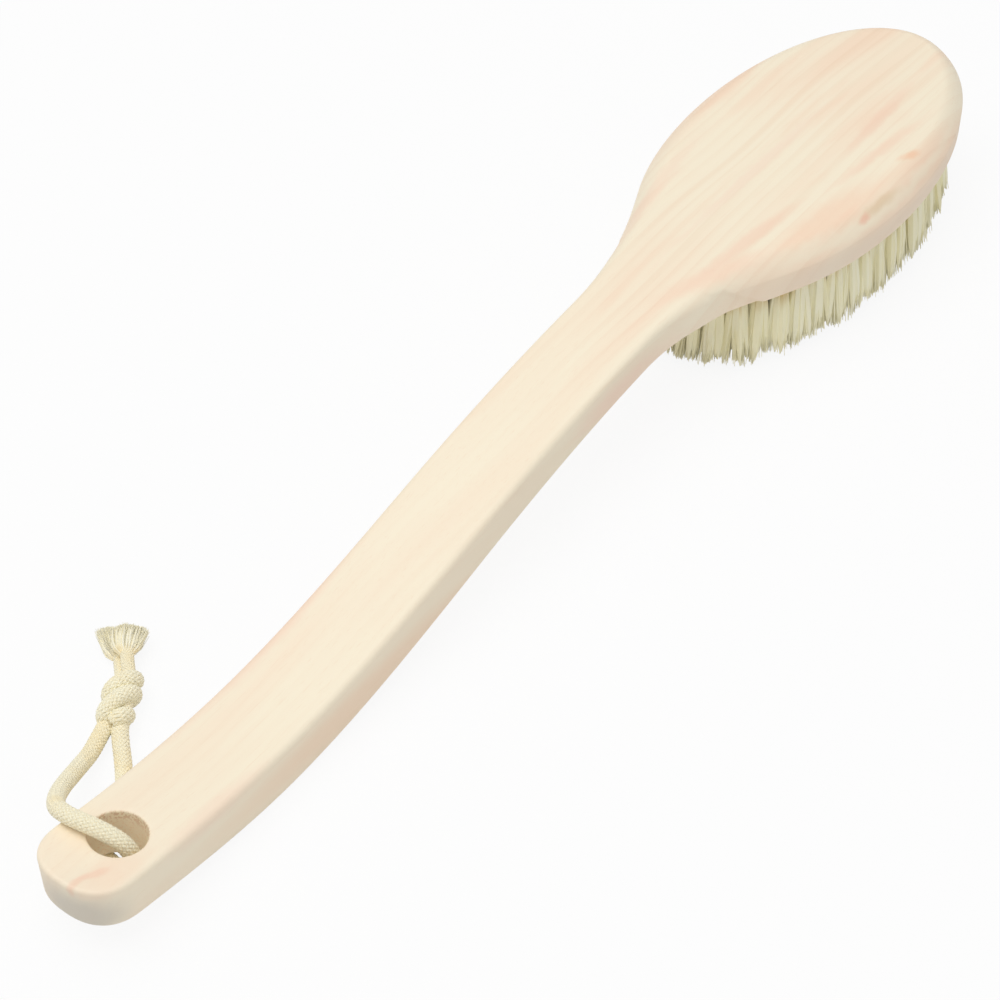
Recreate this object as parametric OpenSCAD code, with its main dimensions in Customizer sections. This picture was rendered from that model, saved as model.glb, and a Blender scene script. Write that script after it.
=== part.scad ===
// Long-handled body dry brush: a one-piece wooden body, bristle tufts anchored in
// blind holes, and a braided hanging cord tied through the handle.
// Millimetres. +X runs from the handle end to the head's tip, +Z is up.
// The origin is under the middle of the brush, on the surface it lies on, bristles down.

/* [Wooden body] */
// Length from the handle end to the head's tip
body_l = 380; // [330:5:440]
// Length of the oval head
head_l = 136; // [115:1:160]
// Width of the oval head
head_w = 73; // [62:1:86]
// Thickness of the head
head_t = 14; // [12:0.5:18]
// Width of the handle
handle_w = 25.6; // [21:0.2:31]
// Thickness of the handle at its lowest point
grip_t = 16; // [13:0.5:19]
// Thickness at the handle end
end_t = 14; // [11:0.2:16]
// Thickness of the narrow waist behind the head
waist_t = 12; // [10:0.5:14]
// How far the rounded end reaches along the handle
end_round_l = 12.4; // [8:0.2:14]
// Squareness of the rounded end, 2 is an ellipse
end_squareness = 2.4; // [2:0.1:4]

/* [Handle curve] */
// Distance from the handle end to the handle's lowest point
valley_x = 64; // [50:1:80]
// Rise of the handle end above the lowest point
end_lift = 7.6; // [6:0.2:14]
// Downward slope at the handle end
end_slope = 0.2; // [0.05:0.01:0.3]
// Distance from the lowest point to the steepest stretch
rise_run = 76; // [60:1:95]
// Share of the climb that is done at the steepest stretch
rise_share = 0.467; // [0.35:0.01:0.6]
// Slope of the steepest stretch
rise_slope = 0.22; // [0.15:0.01:0.3]
// Distance from the tip to where the top becomes flat
flat_top_l = 130; // [110:1:160]

/* [Neck] */
// Distance from the tip to where the handle starts to widen
neck_start_l = 165; // [145:1:200]
// Distance from the tip to where the oval takes over
neck_end_l = 112; // [85:1:115]
// Distance from the tip to the thinnest point of the waist
waist_l = 150; // [135:1:180]
// Distance from the tip to where the head has its full thickness
full_t_l = 114; // [95:1:122]

/* [Rounded edges] */
// Rounding of the handle's edges
handle_edge_r = 2.6; // [1.5:0.1:4.5]
// Reach of the head's top rounding onto its face
head_edge_in = 6.5; // [3:0.1:9]
// Drop of the head's top rounding down its side
head_edge_drop = 5.4; // [3:0.1:7]
// Rounding of the bottom edges
bottom_edge_r = 2.6; // [1:0.1:4]

/* [Bristle tufts] */
// Length of bristle that stands out of the head
bristle_l = 26; // [18:0.5:32]
// Number of oval rings around the centre row
rings = 4; // [3:1:4]
// Distance from the head's edge to the outer ring of tufts
tuft_margin = 6.8; // [5:0.1:9]
// Distance between tufts along a ring
tuft_pitch = 6.4; // [5.9:0.1:9]
// Diameter of a tuft hole
tuft_hole_d = 4; // [3:0.1:4.6]
// Depth of a tuft hole
tuft_hole_depth = 8; // [6:0.5:9]
// Diameter of a tuft at its tips
tuft_tip_d = 5.4; // [4.2:0.1:5.6]
// Gap between the tips of the centre row and of the inner ring, at the row's ends
tip_gap = 0.2; // [0.1:0.05:0.6]
// Thickness of the fold of bristle over its anchor
fold_t = 1.2; // [0.8:0.1:2]

/* [Anchors] */
// Thickness of the flat metal anchor
anchor_t = 0.4; // [0.3:0.05:0.6]
// Height of the flat metal anchor
anchor_h = 2.4; // [1.6:0.1:3]
// Clearance around tufts and anchors in their seats
seat_gap = 0.04; // [0.02:0.01:0.1]

/* [Hanging hole] */
// Diameter of the hanging hole
hang_hole_d = 14.4; // [12:0.2:17]
// Distance from the handle end to the hanging hole's centre
hang_hole_x = 19.6; // [18:0.2:24]
// Width of the bevel around the hanging hole's rims
hang_bevel = 1; // [0.4:0.1:1.6]

/* [Cord] */
// Diameter of the braided cord
cord_d = 4.6; // [4:0.1:4.8]
// Diameter of a strand drawn tight behind the knot
tail_d = 3.6; // [3:0.1:3.7]
// Length of the frayed tassel
tassel_l = 9; // [7:0.5:14]
// Width of the frayed tassel at its tips
tassel_w = 12.6; // [9:0.2:16]

/* [Hidden] */
half_l = body_l / 2;
head_a = head_l / 2;
head_b = head_w / 2;
head_cx = body_l - head_a;
handle_b = handle_w / 2;
head_bottom = bristle_l;
head_top = bristle_l + head_t;
climb = head_top - grip_t;
// How far a cutting shape runs past the face that it cuts
over = 2;

// Heights of the handle's top line: [distance from the end, height, slope]
top_knots = [
    [0, grip_t + end_lift, -end_slope],
    [valley_x, grip_t, 0],
    [valley_x + rise_run, grip_t + climb * rise_share, rise_slope],
    [body_l - flat_top_l, head_top, 0],
    [body_l, head_top, 0]
];
// Thicknesses along the body
thick_knots = [
    [0, end_t, 0],
    [valley_x, grip_t, 0],
    [body_l - waist_l, waist_t, 0],
    [body_l - full_t_l, head_t, 0],
    [body_l, head_t, 0]
];

// Smooth curve through knots of [place, value, slope]
function hermite(k0, k1, x) =
    let (d = k1[0] - k0[0], t = (x - k0[0]) / d, t2 = t * t, t3 = t2 * t)
    (2 * t3 - 3 * t2 + 1) * k0[1] + (t3 - 2 * t2 + t) * d * k0[2]
    + (3 * t2 - 2 * t3) * k1[1] + (t3 - t2) * d * k1[2];
function along(knots, x, i = 0) =
    x <= knots[i + 1][0] || i == len(knots) - 2
    ? hermite(knots[i], knots[i + 1], min(max(x, knots[0][0]), knots[len(knots) - 1][0]))
    : along(knots, x, i + 1);
function top_z(x) = along(top_knots, x);
function under_z(x) = top_z(x) - along(thick_knots, x);

// Half outline in plan, from the handle end round one side to the tip
function oval_y(x) = head_b * sqrt(max(0, 1 - pow((x - head_cx) / head_a, 2)));
function oval_slope(x) = head_b * head_b * (head_cx - x) / (head_a * head_a * oval_y(x));
neck_x0 = body_l - neck_start_l;
neck_x1 = body_l - neck_end_l;
neck_knots = [[neck_x0, handle_b, 0], [neck_x1, oval_y(neck_x1), oval_slope(neck_x1)]];
oval_start = acos((neck_x1 - head_cx) / head_a);
end_steps = 7;
grip_steps = 24;
neck_steps = 12;
oval_steps = 22;
half_outline = concat(
    [for (i = [0 : end_steps]) let (a = 90 * i / end_steps, e = 2 / end_squareness)
        [end_round_l * (1 - pow(cos(a), e)), handle_b * pow(sin(a), e)]],
    [for (i = [1 : grip_steps]) [end_round_l + (neck_x0 - end_round_l) * i / grip_steps, handle_b]],
    [for (i = [1 : neck_steps]) let (x = neck_x0 + (neck_x1 - neck_x0) * i / neck_steps)
        [x, along(neck_knots, x)]],
    [for (i = [1 : oval_steps]) let (a = oval_start * (1 - i / oval_steps))
        [head_cx + head_a * cos(a), head_b * sin(a)]]
);
half_n = len(half_outline);
outline = concat(half_outline, [for (i = [half_n - 2 : -1 : 1]) [half_outline[i][0], -half_outline[i][1]]]);
outline_n = len(outline);
function wrap(i) = (i + outline_n) % outline_n;
// Outward direction at an outline point
function outward(i) =
    let (d = outline[wrap(i + 1)] - outline[wrap(i - 1)]) [-d[1], d[0]] / norm(d);

// How far the head's soft rounding has taken over, from 0 on the handle to 1 on the head
function headness(x) =
    let (t = min(1, max(0, (x - neck_x0) / (neck_x1 - neck_x0)))) t * t * (3 - 2 * t);
function mix(a, b, t) = a + (b - a) * t;

edge_steps = 5;
// One closed ring of body points: top rings count down from the face to the side,
// bottom rings from the side to the underside
function top_ring(a) = [for (i = [0 : outline_n - 1])
    let (
        p = outline[i],
        h = headness(p[0]),
        q = p - outward(i) * mix(handle_edge_r, head_edge_in, h) * (1 - cos(a)),
        drop = mix(handle_edge_r, head_edge_drop, h) * (1 - sin(a))
    ) [q[0], q[1], top_z(q[0]) - drop]];
function bottom_ring(a) = [for (i = [0 : outline_n - 1])
    let (q = outline[i] - outward(i) * bottom_edge_r * (1 - cos(a)))
    [q[0], q[1], under_z(q[0]) + bottom_edge_r * (1 - sin(a))]];
body_rings = concat(
    [for (k = [edge_steps : -1 : 0]) top_ring(90 * k / edge_steps)],
    [for (k = [0 : edge_steps]) bottom_ring(90 * k / edge_steps)]
);
body_points = [for (r = body_rings) for (p = r) p];
ring_n = len(body_rings);
function at(r, i) = r * outline_n + wrap(i);
body_faces = concat(
    [for (r = [0 : ring_n - 2]) for (i = [0 : outline_n - 1])
        [at(r, i), at(r, i + 1), at(r + 1, i + 1), at(r + 1, i)]],
    [for (r = [0, ring_n - 1]) for (i = [0 : half_n - 2])
        let (f = i == 0 ? [at(r, 0), at(r, -1), at(r, 1)]
            : i == half_n - 2 ? [at(r, i), at(r, -i), at(r, i + 1)]
            : [at(r, i), at(r, -i), at(r, -i - 1), at(r, i + 1)])
        r == 0 ? f : [for (k = [len(f) - 1 : -1 : 0]) f[k]]]
);

// Tuft places: rings that follow the head's outline, spaced evenly along their length,
// split at the centre line into a left and a right half, and one row on the centre line
ring_pitch = (head_b - tuft_margin) / rings;
function ring_a(k) = head_a - tuft_margin - (k - 1) * ring_pitch;
function ring_b(k) = head_b - tuft_margin - (k - 1) * ring_pitch;
arc_steps = 90;
function oval_at(k, a) = [head_cx + ring_a(k) * cos(a), ring_b(k) * sin(a)];
// The halves of a ring start half a pitch off the centre line
function first_angle(k) = asin(tuft_pitch / 2 / ring_b(k));
function arc_angle(k, i) = mix(first_angle(k), 180 - first_angle(k), i / arc_steps);
function half_arc(k, i = 0, s = 0) =
    i > arc_steps ? []
    : let (d = i == 0 ? 0 : norm(oval_at(k, arc_angle(k, i)) - oval_at(k, arc_angle(k, i - 1))))
        concat([[s + d, arc_angle(k, i)]], half_arc(k, i + 1, s + d));
function half_ring(k, side) =
    let (
        table = half_arc(k),
        total = table[arc_steps][0],
        n = round(total / tuft_pitch)
    )
    [for (i = [0 : n]) let (p = oval_at(k, lookup(total * i / n, table))) [p[0], side * p[1]]];
// The centre row ends where the inner ring closes in on it
row_half = ring_a(rings) * sqrt(1 - pow((tuft_tip_d + tip_gap) / ring_b(rings), 2));
row_n = max(1, round(row_half / tuft_pitch));
centre_row = [for (i = [-row_n : row_n]) [head_cx + row_half * i / row_n, 0]];
sides = [["left", 1], ["right", -1]];
tuft_groups = concat(
    [for (k = [1 : rings]) for (s = sides) [str("ring_", k, "_", s[0]), half_ring(k, s[1])]],
    [["centre_row", centre_row]]
);
hole_bottom = head_bottom + tuft_hole_depth;
anchor_top = hole_bottom - fold_t;

// Route of the cord's centre line, measured from the handle end: out of the knot, over
// the handle's far edge, down through the hole, under the handle and back to the knot
cord_route = [
    [50, 35.4, 3.4], [45, 33.6, 3.2], [40.4, 31.8, 3.8], [36, 30, 5.8], [31.8, 27.8, 8.6],
    [27.4, 25.6, 11.4], [23.2, 23.2, 14.2], [19.4, 20.2, 17.2], [16.4, 16.4, 20.4], [15, 12, 23],
    [15.2, 7.8, 23.6], [16, 4, 23.4], [17.2, 0.4, 22], [18.4, -2.4, 19.6], [19.2, -3.9, 16.2],
    [19.4, -4.2, 12.4], [19.4, -4, 8.6], [19.6, -2.4, 5.2], [20, 0.8, 3.1], [20.4, 5, 2.4],
    [21.2, 9.6, 2.4], [23.4, 13.6, 2.4], [28, 15.8, 2.4], [33.6, 16.8, 2.4], [38.2, 18.6, 2.4],
    [41.8, 21.8, 2.4], [45, 25.2, 2.5], [48, 28.6, 2.8], [51, 31.6, 3.3]
];
// Where the knot's body starts and ends, the radius of its round ends, their inset and height
knot_from = [51, 33.6];
knot_to = [65.6, 42.2];
knot_r = 4.7;
knot_inset = 4;
knot_z = 5;
// Where both tails end, and the side offset and height of each
tail_to = [70, 48.4];
tail_places = [[1, 2.2], [-1, 5.9]];
// Direction of the tassel, the thickness of its fan's edge, and the width and height of its root
tassel_dir = [0.73, 0.68];
tassel_t = 5.8;
tassel_root_d = 7.4;
tassel_root_z = 4;
tassel_root_l = 0.4;
// Height of the tassel above the surface that it lies on
tassel_lift = 0.2;
// Facets around the cord, and rings of points for each step of its route
cord_sides = 10;
rings_per_step = 3;

// Smooth curve through the route's points
function bend(p0, p1, p2, p3, t) =
    0.5 * (2 * p1 + (p2 - p0) * t + (2 * p0 - 5 * p1 + 4 * p2 - p3) * t * t
    + (3 * p1 - p0 - 3 * p2 + p3) * t * t * t);
route_n = len(cord_route);
function route_point(i) = cord_route[min(max(i, 0), route_n - 1)];
cord_path = concat(
    [for (i = [0 : route_n - 2]) for (k = [0 : rings_per_step - 1])
        bend(route_point(i - 1), route_point(i), route_point(i + 1), route_point(i + 2),
            k / rings_per_step)],
    [route_point(route_n - 1)]
);
path_n = len(cord_path);
function unit(v) = v / norm(v);
function path_dir(i) = unit(cord_path[min(i + 1, path_n - 1)] - cord_path[max(i - 1, 0)]);
// Side direction carried along the path, so that the tube never twists
function side_dirs(i = 0, v = [0, 0, 1]) =
    i == path_n ? []
    : let (t = path_dir(i), s = unit(v - (v * t) * t)) concat([s], side_dirs(i + 1, s));
cord_side_dirs = side_dirs();
cord_points = [for (i = [0 : path_n - 1]) for (k = [0 : cord_sides - 1])
    let (a = 360 * k / cord_sides, s = cord_side_dirs[i])
    cord_path[i] + (s * cos(a) + cross(path_dir(i), s) * sin(a)) * cord_d / 2];
cord_faces = concat(
    [[for (k = [cord_sides - 1 : -1 : 0]) k]],
    [for (i = [0 : path_n - 2]) for (k = [0 : cord_sides - 1])
        let (a = i * cord_sides + k, b = i * cord_sides + (k + 1) % cord_sides)
        [a, b, b + cord_sides, a + cord_sides]],
    [[for (k = [0 : cord_sides - 1]) (path_n - 1) * cord_sides + k]]
);

$fn = 32;

// Places measured from the handle end go to the part's own frame
module from_handle_end() {
    translate([-half_l, 0, 0]) children();
}

// Carved body with its blind tuft holes and the hanging hole
module wooden_body() {
    color("bisque")
    from_handle_end()
    difference() {
        polyhedron(body_points, body_faces, convexity = 6);
        for (g = tuft_groups) for (p = g[1])
            translate([p[0], p[1], head_bottom - over])
                cylinder(d = tuft_hole_d, h = tuft_hole_depth + over);
        hanging_hole();
    }
}

// Hole for the cord, square to the handle's top, bevelled at both rims
module hanging_hole() {
    tilt = atan(top_z(hang_hole_x + 1) - top_z(hang_hole_x));
    depth = top_z(hang_hole_x) - under_z(hang_hole_x);
    r = hang_hole_d / 2;
    wide_r = r + hang_bevel + over;
    cone_h = hang_bevel + over;
    translate([hang_hole_x, 0, top_z(hang_hole_x)])
        rotate([0, -tilt, 0]) {
            translate([0, 0, -depth - over]) cylinder(r = r, h = depth + 2 * over);
            translate([0, 0, -hang_bevel]) cylinder(r1 = r, r2 = wide_r, h = cone_h);
            translate([0, 0, -depth - over]) cylinder(r1 = wide_r, r2 = r, h = cone_h);
        }
}

// Bundle of bristles folded over its anchor, spreading towards the tips
module tuft() {
    r = tuft_hole_d / 2 - seat_gap;
    slot_t = anchor_t + 2 * seat_gap;
    difference() {
        union() {
            cylinder(r1 = tuft_tip_d / 2, r2 = r, h = head_bottom);
            translate([0, 0, head_bottom]) cylinder(r = r, h = tuft_hole_depth - seat_gap);
        }
        translate([-slot_t / 2, -tuft_hole_d, anchor_top - anchor_h - seat_gap])
            cube([slot_t, 2 * tuft_hole_d, anchor_h + 2 * seat_gap]);
    }
}

// Flat strip of metal across the hole that holds the fold
module anchor() {
    w = tuft_hole_d - 2 * seat_gap;
    translate([-anchor_t / 2, -w / 2, anchor_top - anchor_h]) cube([anchor_t, w, anchor_h]);
}

module tufts(places) {
    color("ivory") from_handle_end() for (p = places) translate([p[0], p[1], 0]) tuft();
}

module anchors(places) {
    color("silver") from_handle_end() for (p = places) translate([p[0], p[1], 0]) anchor();
}

// Loop of braided cord from the knot through the hole and back
module cord_loop() {
    color("wheat") from_handle_end() polyhedron(cord_points, cord_faces, convexity = 8);
}

// Both strands tied in one overhand knot
module cord_knot() {
    inset = unit(knot_to - knot_from) * knot_inset;
    color("wheat")
    from_handle_end()
    hull()
        for (p = [knot_from + inset, knot_to - inset])
            translate([p[0], p[1], knot_z]) sphere(r = knot_r);
}

// One strand's short end behind the knot, beside and above the other
module cord_tail(place) {
    d = tail_to - knot_to;
    color("wheat")
    from_handle_end()
    translate([knot_to[0], knot_to[1], place[1]])
        rotate([0, 90, atan2(d[1], d[0])])
            translate([0, place[0], 0]) cylinder(d = tail_d, h = norm(d));
}

// Frayed ends of both strands, fanned out
module cord_tassel() {
    r = tassel_t / 2;
    color("cornsilk")
    from_handle_end()
    translate([tail_to[0], tail_to[1], 0])
        rotate([0, 0, atan2(tassel_dir[1], tassel_dir[0])])
            hull() {
                translate([0, 0, tassel_root_z])
                    rotate([0, 90, 0]) cylinder(d = tassel_root_d, h = tassel_root_l);
                for (s = [-1, 1])
                    translate([tassel_l - r, s * (tassel_w / 2 - r), r + tassel_lift]) sphere(r = r);
            }
}

wooden_body();
for (g = tuft_groups) {
    tufts(g[1]);
    anchors(g[1]);
}
cord_loop();
cord_knot();
cord_tail(tail_places[0]);  // cord_tail_lower
cord_tail(tail_places[1]);  // cord_tail_upper
cord_tassel();
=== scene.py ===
import math

import bmesh
import bpy
import numpy as np
from mathutils import Matrix, Vector


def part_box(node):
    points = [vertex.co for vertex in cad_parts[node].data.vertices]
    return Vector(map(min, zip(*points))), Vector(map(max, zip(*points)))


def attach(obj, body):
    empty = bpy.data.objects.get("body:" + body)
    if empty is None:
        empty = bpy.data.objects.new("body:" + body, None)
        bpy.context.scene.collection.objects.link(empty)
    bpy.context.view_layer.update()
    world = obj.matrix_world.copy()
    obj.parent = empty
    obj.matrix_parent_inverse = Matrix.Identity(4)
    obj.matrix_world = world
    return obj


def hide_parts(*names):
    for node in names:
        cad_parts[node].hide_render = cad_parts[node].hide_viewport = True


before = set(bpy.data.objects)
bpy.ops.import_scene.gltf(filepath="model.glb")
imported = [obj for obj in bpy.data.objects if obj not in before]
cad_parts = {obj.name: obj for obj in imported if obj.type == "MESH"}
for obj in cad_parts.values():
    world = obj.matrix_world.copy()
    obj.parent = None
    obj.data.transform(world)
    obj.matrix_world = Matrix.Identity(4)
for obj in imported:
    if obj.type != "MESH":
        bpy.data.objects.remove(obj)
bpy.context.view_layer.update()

woodLow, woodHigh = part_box("wooden_body")
mm = 0.001


# Long lens from above the handle end, looking towards the head
shot = {
    "lens": 89.1,
    "target": (-25.0, -0.6, 10.6),
    "distance": 660,
    "azimuth": 37.69,  # degrees from +X towards +Y
    "elevation": 46.36,
    "roll": -0.55,
}


def makeCamera():
    turn, lift, roll = (math.radians(shot[k]) for k in ("azimuth", "elevation", "roll"))
    look = Vector((math.cos(lift) * math.cos(turn), math.cos(lift) * math.sin(turn), -math.sin(lift)))
    level = look.cross(Vector((0, 0, 1))).normalized()
    up = level.cross(look)
    right = level * math.cos(roll) + up * math.sin(roll)
    camera = bpy.data.objects.new("camera", bpy.data.cameras.new("camera"))
    camera.data.lens = shot["lens"]
    camera.data.sensor_width = 36
    camera.data.clip_start = 0.02
    camera.data.clip_end = 20
    turned = Matrix((right, right.cross(look), -look)).transposed()
    place = (Vector(shot["target"]) - look * shot["distance"]) * mm
    camera.matrix_world = Matrix.Translation(place) @ turned.to_4x4()
    bpy.context.scene.collection.objects.link(camera)
    bpy.context.scene.camera = camera


makeCamera()
print("camera set")


def addObject(name, mesh, *materials):
    thing = bpy.data.objects.new(name, mesh)
    bpy.context.scene.collection.objects.link(thing)
    for material in materials:
        mesh.materials.append(material)
    return thing


# Mesh from points in millimetres
def newMesh(name, points, faces):
    mesh = bpy.data.meshes.new(name)
    mesh.from_pydata((np.array(points) * mm).tolist(), [], faces)
    return mesh


# Plain mesh of a piece with its modifiers worked in
def workedMesh(piece, name):
    evaluated = piece.evaluated_get(bpy.context.evaluated_depsgraph_get())
    mesh = bpy.data.meshes.new_from_object(evaluated)
    mesh.name = name
    piece.modifiers.clear()
    return mesh


# A node's output: with these, sums in a tree are written with the usual signs
class Value:
    def __init__(self, socket):
        self.socket = socket
        self.tree = socket.id_data

    def __add__(self, other):
        return calc(self.tree, "ADD", self, other)

    def __sub__(self, other):
        return calc(self.tree, "SUBTRACT", self, other)

    def __rsub__(self, other):
        return calc(self.tree, "SUBTRACT", other, self)

    def __mul__(self, other):
        return calc(self.tree, "MULTIPLY", self, other)

    def __truediv__(self, other):
        return calc(self.tree, "DIVIDE", self, other)

    def __pow__(self, other):
        return calc(self.tree, "POWER", self, other)


# A socket takes either a link or a fixed value
def feed(socket, value):
    value = value.socket if isinstance(value, Value) else value
    if isinstance(value, bpy.types.NodeSocket):
        socket.id_data.links.new(value, socket)
    else:
        socket.default_value = value


# Node in a shader or geometry tree: what it is fed goes by socket name or number
def addNode(tree, kind, feeds=None, **settings):
    made = tree.nodes.new(kind)
    for key, value in settings.items():
        setattr(made, key, value)
    for key, value in (feeds or {}).items():
        feed(made.inputs[key], value)
    return made


def calc(tree, operation, *values):
    made = addNode(tree, "ShaderNodeMath", dict(enumerate(values)), operation=operation)
    return Value(made.outputs[0])


def calcVector(tree, operation, *values):
    results = addNode(tree, "ShaderNodeVectorMath", dict(enumerate(values)), operation=operation).outputs
    return Value(results["Value"]) if operation == "LENGTH" else results["Vector"]


def scaled(tree, vector, factor):
    made = addNode(tree, "ShaderNodeVectorMath", {0: vector, "Scale": factor}, operation="SCALE")
    return made.outputs[0]


def combined(tree, *values):
    return addNode(tree, "ShaderNodeCombineXYZ", dict(enumerate(values))).outputs[0]


def split(tree, vector):
    return [Value(part) for part in addNode(tree, "ShaderNodeSeparateXYZ", {0: vector}).outputs]


def objectPlace(tree):
    return addNode(tree, "ShaderNodeTexCoord").outputs["Object"]


def meshValue(tree, name):
    return Value(addNode(tree, "ShaderNodeAttribute", attribute_name=name).outputs["Fac"])


def remap(tree, value, low, high, toLow=0.0, toHigh=1.0):
    feeds = {"Value": value, "From Min": low, "From Max": high, "To Min": toLow, "To Max": toHigh}
    return Value(addNode(tree, "ShaderNodeMapRange", feeds, interpolation_type="SMOOTHSTEP").outputs[0])


def mixColour(tree, factor, first, second):
    return addNode(tree, "ShaderNodeMix", {0: factor, 6: first, 7: second}, data_type="RGBA").outputs[2]


def noise(tree, vector, scale=1.0, detail=2.0):
    feeds = {"Vector": vector, "Scale": scale, "Detail": detail, "Roughness": 0.5}
    return Value(addNode(tree, "ShaderNodeTexNoise", feeds).outputs[0])


# Colours are written as seen on a screen, from 0 to 255
def colour(red, green, blue):
    return tuple((v / 255 / 12.92 if v < 10.3 else ((v / 255 + 0.055) / 1.055) ** 2.4)
                 for v in (red, green, blue)) + (1.0,)


def newMaterial(name, roughness, **finish):
    material = bpy.data.materials.new(name)
    material.use_nodes = True
    tree = material.node_tree
    shader = tree.nodes["Principled BSDF"]
    shader.inputs["Roughness"].default_value = roughness
    for key, value in finish.items():
        shader.inputs[key.replace("_", " ")].default_value = value
    return material, tree, shader


def addBump(tree, shader, height, distance, strength):
    feeds = {"Height": height, "Distance": distance, "Strength": strength}
    feed(shader.inputs["Normal"], addNode(tree, "ShaderNodeBump", feeds).outputs[0])


# A node group with named inputs and outputs: sockets are (name, type, default)
def newGroup(name, kind, inputs, outputs):
    tree = bpy.data.node_groups.new(name, kind)
    for direction, sockets in (("INPUT", inputs), ("OUTPUT", outputs)):
        for label, socketType, *default in sockets:
            socketType = "NodeSocket" + socketType
            socket = tree.interface.new_socket(label, in_out=direction, socket_type=socketType)
            if default:
                socket.default_value = default[0]
    given = {socket.name: Value(socket) for socket in tree.nodes.new("NodeGroupInput").outputs}
    return tree, given, tree.nodes.new("NodeGroupOutput").inputs


def useGroup(tree, group, feeds):
    made = addNode(tree, "ShaderNodeGroup", feeds, node_tree=group)
    return {socket.name: Value(socket) for socket in made.outputs}


# Yarn finish with painted shade, from the lie of the yarn (0 sunk between its neighbours, where it is
# painted in shade, 1 on top) and its own UV map
def yarnGroup():
    tree, given, result = newGroup("yarn finish and painted shade", "ShaderNodeTree", [
        ("Top colour", "Color"), ("Deep colour", "Color"), ("Aged colour", "Color"),
        ("Filaments", "Float", 5.0), ("Twist", "Float", 1.2),
    ], [("Colour", "Color"), ("Height", "Float")])
    lie = meshValue(tree, "lie")
    along, around, _ = split(tree, addNode(tree, "ShaderNodeUVMap", uv_map="yarn").outputs[0])
    place = objectPlace(tree)
    # Filaments wind around the yarn
    phase = along * given["Twist"] + around * given["Filaments"]
    ridges = calc(tree, "ABSOLUTE", calc(tree, "SINE", phase * math.pi))
    fuzz = noise(tree, place, scale=5200, detail=3)
    patches = noise(tree, place, scale=130, detail=2)
    # Yarns that lie sunk between their neighbours are painted in shade
    shade = mixColour(tree, remap(tree, lie, 0.05, 0.8), given["Deep colour"], given["Top colour"])
    aged = mixColour(tree, remap(tree, patches, 0.45, 0.75, 0, 0.55), shade, given["Aged colour"])
    # Painted shade in the grooves between the filaments
    crease = remap(tree, ridges * fuzz, 0.05, 0.4, 0.25, 0)
    feed(result["Colour"], mixColour(tree, crease, aged, given["Deep colour"]))
    feed(result["Height"], ridges + fuzz * 0.6)
    return tree


yarnFinish = yarnGroup()


def cordMaterial(name, top, paintedShade, aged):
    material, tree, shader = newMaterial(name, roughness=0.85, Sheen_Weight=0.25, Sheen_Roughness=0.5)
    look = useGroup(tree, yarnFinish, {"Top colour": top, "Deep colour": paintedShade, "Aged colour": aged})
    feed(shader.inputs["Base Color"], look["Colour"])
    addBump(tree, shader, look["Height"], 0.00006, 0.6)
    return material


# Braided hanging cord: through the hole, both legs tied in one knot, ends frayed to a tassel
cord = {
    "diameter": 4.6,
    "yarns": 12,  # in each of the two directions
    "pitch": 15.0,  # length of one turn of a yarn
    "yarnWidth": 0.98,
    "yarnThickness": 0.56,
    "rise": 0.15,  # height of a yarn over the ones it crosses
    "over": 1,  # yarns that each one passes over, then under
    "coreGap": 0.05,  # the core stands back this far from the yarns' middle
    "step": 0.3,
}
# The cord's route from the knot, over the handle's far edge, down the hole and back under the handle
cordRoute = [
    (50, 35.4, 3.4), (45, 33.6, 3.2), (40.4, 31.8, 3.8), (36, 30, 5.8), (31.8, 27.8, 8.6),
    (27.4, 25.6, 11.4), (23.2, 23.2, 14.2), (19.4, 20.2, 17.2), (16.4, 16.4, 20.4), (15, 12, 23),
    (15.2, 7.8, 23.6), (16, 4, 23.4), (17.2, 0.4, 22), (18.4, -2.4, 19.6), (19.2, -3.9, 16.2),
    (19.4, -4.2, 12.4), (19.4, -4, 8.6), (19.6, -2.4, 5.2), (20, 0.8, 3.1), (20.4, 5, 2.4),
    (21.2, 9.6, 2.4), (23.4, 13.6, 2.4), (28, 15.8, 2.4), (33.6, 16.8, 2.4), (38.2, 18.6, 2.4),
    (41.8, 21.8, 2.4), (45, 25.2, 2.5), (48, 28.6, 2.8), (51, 31.6, 3.3),
]


# Smooth curve through points, then even steps along it, with a side direction that never twists
def evenPath(points, step):
    p = np.array(points, float)
    p = np.vstack((p[:1], p, p[-1:]))
    fineSteps = 24
    t = np.linspace(0, 1, fineSteps, endpoint=False)[:, None]
    fine = []
    for a, b, c, d in zip(p[:-3], p[1:-2], p[2:-1], p[3:]):
        square, cube = 2 * a - 5 * b + 4 * c - d, 3 * b - a - 3 * c + d
        fine.append(0.5 * (2 * b + (c - a) * t + square * t**2 + cube * t**3))
    fine = np.vstack(fine + [p[-1:]])
    run = np.concatenate(([0], np.cumsum(np.linalg.norm(np.diff(fine, axis=0), axis=1))))
    places = np.linspace(0, run[-1], max(4, int(run[-1] / step)))
    path = np.column_stack([np.interp(places, run, fine[:, k]) for k in range(3)])
    along = np.gradient(path, axis=0)
    along /= np.linalg.norm(along, axis=1)[:, None]
    side = np.empty_like(path)
    side[0] = np.cross(along[0], (0.3, 0.2, 1))  # any direction that the path doesn't start in
    for k in range(len(path)):
        carried = side[max(k - 1, 0)]
        carried = carried - along[k] * (carried @ along[k])
        side[k] = carried / np.linalg.norm(carried)
    return path, along, side, places


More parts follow.
